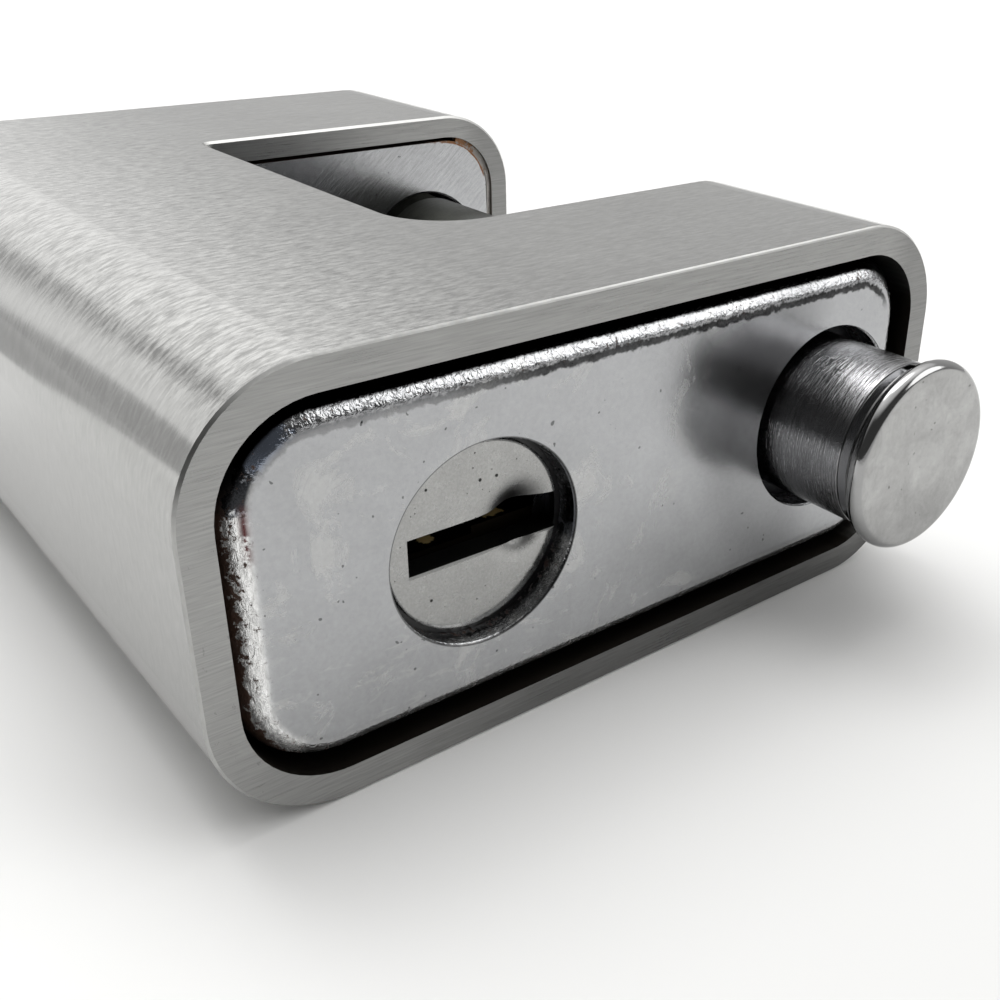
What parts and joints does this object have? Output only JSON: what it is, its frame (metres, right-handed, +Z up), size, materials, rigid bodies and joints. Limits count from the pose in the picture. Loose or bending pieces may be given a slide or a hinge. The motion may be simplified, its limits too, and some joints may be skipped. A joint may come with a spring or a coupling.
{
  "type": "closed shackle padlock",
  "caption": "Closed shackle padlock with a brushed steel sleeve, a recessed plated core, a slotted key guard disc and a straight sliding bolt across its notch.",
  "frame": {"origin": "on the flat underside, in the middle of the base between the notch and the closed side, half way along the sleeve", "axes": "+X along the bolt towards the key end, +Y from the closed side towards the open side of the notch, +Z up from the underside"},
  "size_m": [0.0979, 0.068, 0.032],
  "materials": {
    "sleeve_steel": "satin, brushed across the top face",
    "core_plate": "dull bluish plating with smudges",
    "bolt_steel": "polished, fine turning marks",
    "disc_steel": "light satin with small pits",
    "cylinder_brass": "machined brass",
    "pin_brass": "turned brass",
    "pin_steel": "turned steel",
    "spring_wire": "drawn wire"
  },
  "bodies": {
    "lock_body": {"sleeve": "sleeve_steel", "core": "core_plate", "disc_ring": "spring_wire", "bolt_stop_pin": "pin_steel", "latch_bore_cap": "cylinder_brass", "chamber_cover": "cylinder_brass", "core_pin_1": "pin_steel", "core_pin_2": "pin_steel", "driver_pin_1": "pin_brass", "driver_pin_2": "pin_brass", "driver_pin_3": "pin_brass", "driver_pin_4": "pin_brass", "driver_pin_5": "pin_brass", "pin_spring_1": "spring_wire", "pin_spring_2": "spring_wire", "pin_spring_3": "spring_wire", "pin_spring_4": "spring_wire", "pin_spring_5": "spring_wire"},
    "plug_body": {"plug": "cylinder_brass", "tail_shaft": "pin_steel", "key_pin_1": "pin_brass", "key_pin_2": "pin_brass", "key_pin_3": "pin_brass", "key_pin_4": "pin_brass", "key_pin_5": "pin_brass"},
    "guard_body": {"guard_disc": "disc_steel"},
    "latch_body": {"latch": "pin_steel"},
    "bolt_body": {"bolt": "bolt_steel"}
  },
  "joints": [
    {"name": "bolt_slide", "type": "slide", "parent": "lock_body", "child": "bolt_body", "axis": [1, 0, 0], "range_m": [-0.0104, 0.0534]},
    {"name": "plug_turn", "type": "hinge", "parent": "lock_body", "child": "plug_body", "pos_m": [0.03985, 0.00665, 0.0154], "axis": [1, 0, 0], "range_deg": [0, 90]},
    {"name": "disc_turn", "type": "hinge", "parent": "lock_body", "child": "guard_body", "pos_m": [0.04225, 0.00665, 0.0154], "axis": [1, 0, 0], "range_deg": [0, 90]},
    {"name": "latch_slide", "type": "slide", "parent": "lock_body", "child": "latch_body", "axis": [0, 1, 0], "range_m": [0, 0.003]}
  ],
  "couplings": [
    {"joint": "plug_turn", "follows": "latch_slide", "rad_per_m": 523.59},
    {"joint": "disc_turn", "follows": "latch_slide", "rad_per_m": 523.59}
  ]
}
